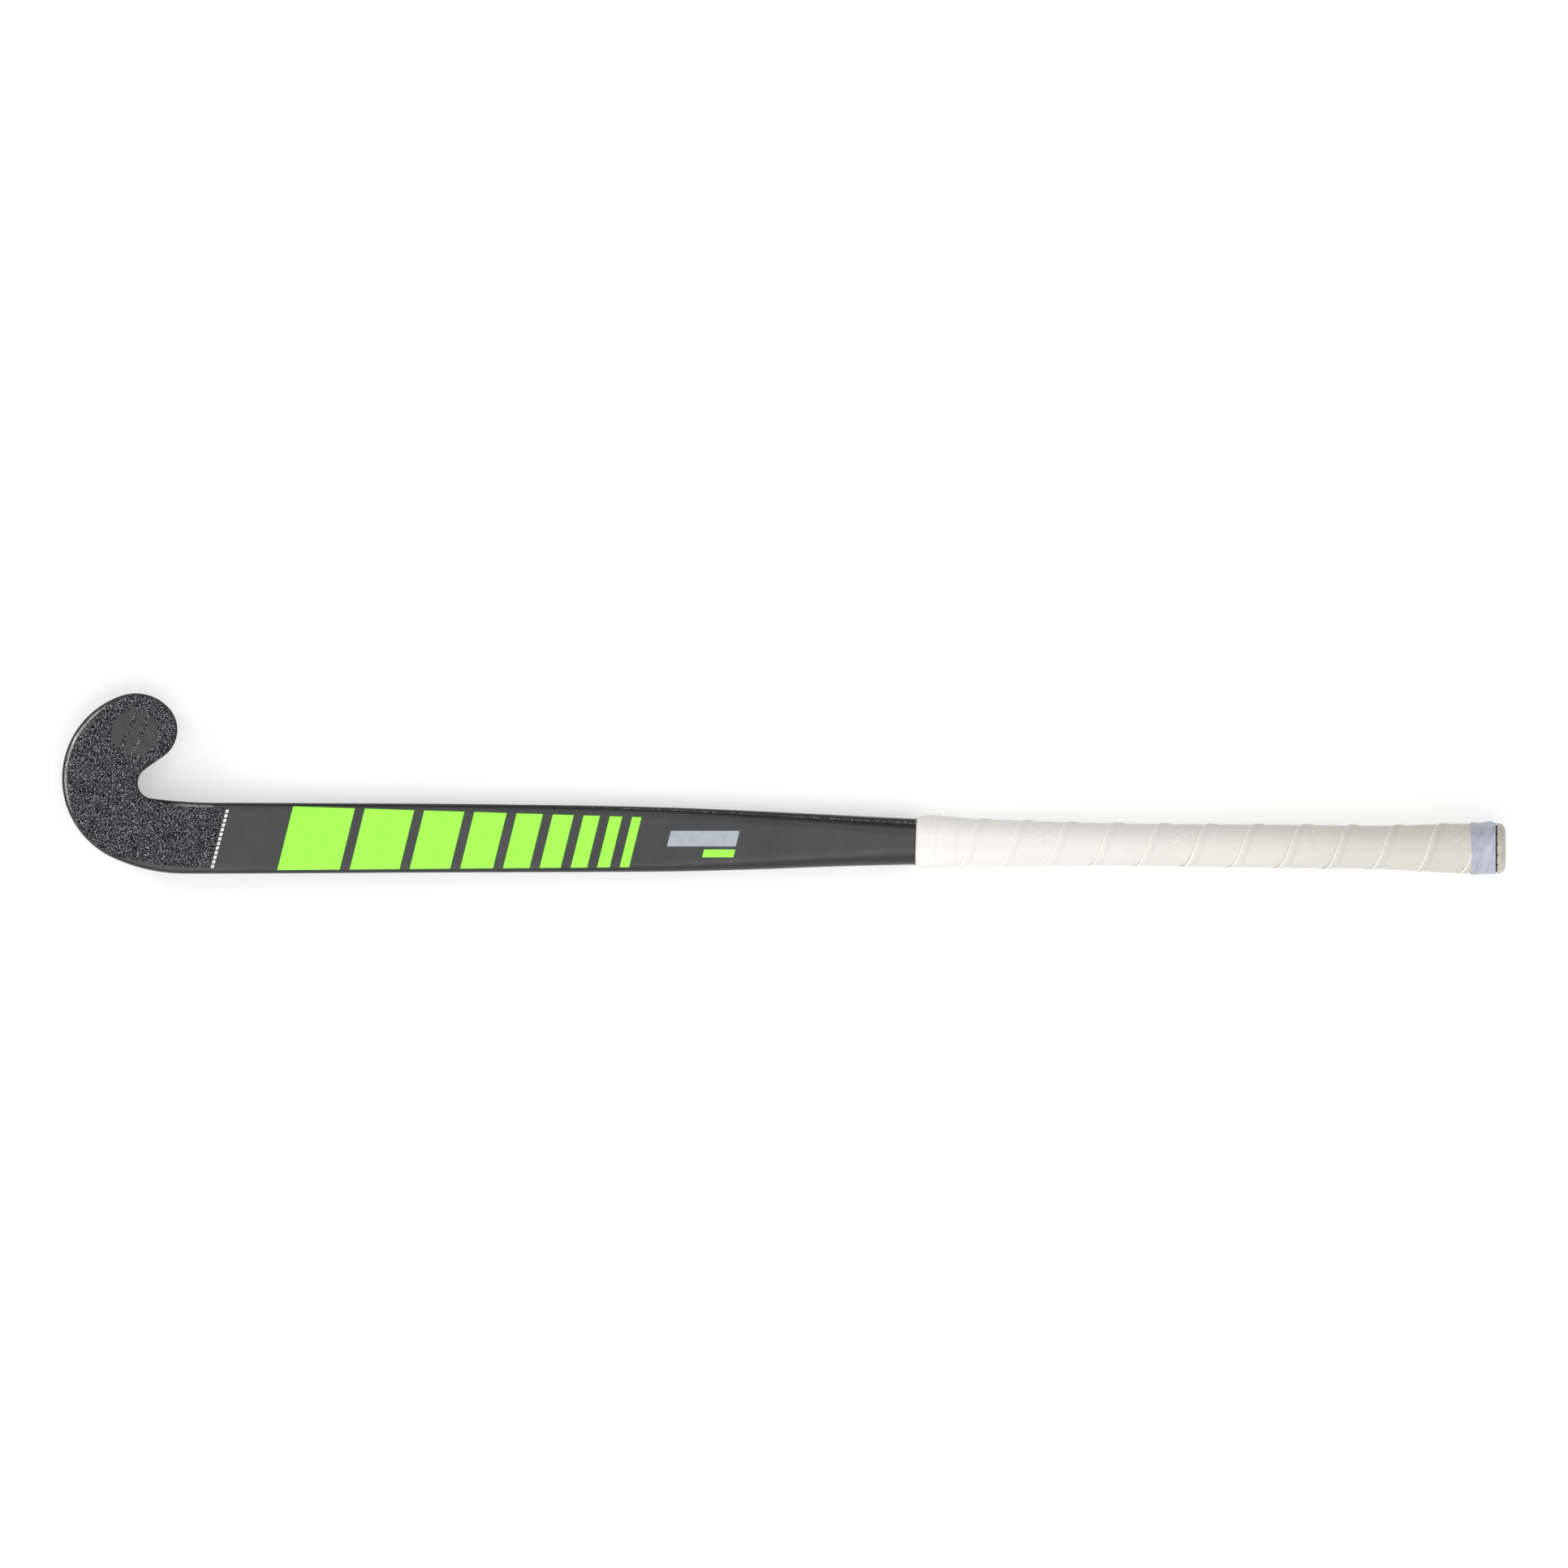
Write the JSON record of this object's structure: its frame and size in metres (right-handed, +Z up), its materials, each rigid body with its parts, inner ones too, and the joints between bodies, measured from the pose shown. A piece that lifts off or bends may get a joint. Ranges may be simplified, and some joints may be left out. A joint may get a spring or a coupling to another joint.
{
  "type": "field hockey stick",
  "caption": "Composite field hockey stick: bowed shaft, J-shaped hooked head with a flat gritty face, cream spiral grip, tape ring and rubber butt cap",
  "frame": {"origin": "middle of the stick's length and width, on the floor it lies on", "axes": "+X from the head to the butt along the length, +Y from the heel edge towards the toe, +Z up out of the playing face; the stick lies on its back"},
  "size_m": [0.9276, 0.1165, 0.0544],
  "materials": {
    "laminate": "satin lacquer over carbon and glass laminate",
    "inner_laminate": "raw carbon laminate",
    "core_foam": "rigid polyurethane foam",
    "aramid": "woven aramid set in resin",
    "handle_foam": "light expanded foam",
    "plug": "moulded plastic",
    "cap_rubber": "moulded cream rubber",
    "underlay": "adhesive-backed felt",
    "grip": "embossed polyurethane strip",
    "seal": "thin adhesive edge",
    "tape": "creased translucent vinyl",
    "grit": "gritty sprayed coating",
    "white_print": "printed film",
    "badge": "smooth film",
    "lime_print": "printed film",
    "silver_print": "printed film"
  },
  "bodies": {
    "root": {"composite_shell": "laminate", "heel_side_tube": "inner_laminate", "toe_side_tube": "inner_laminate", "head_core": "core_foam", "heel_strip": "aramid", "heel_side_foam": "handle_foam", "toe_side_foam": "handle_foam", "butt_plug": "plug", "butt_cap": "cap_rubber", "grip_underlay": "underlay", "grip_wrap": "grip", "grip_collar": "grip", "edge_seal": "seal", "butt_tape": "tape", "grit_coating": "grit", "edge_line": "white_print", "toe_badge": "badge", "shaft_graphic": "lime_print", "series_mark": "silver_print", "size_mark": "lime_print"}
  },
  "joints": []
}
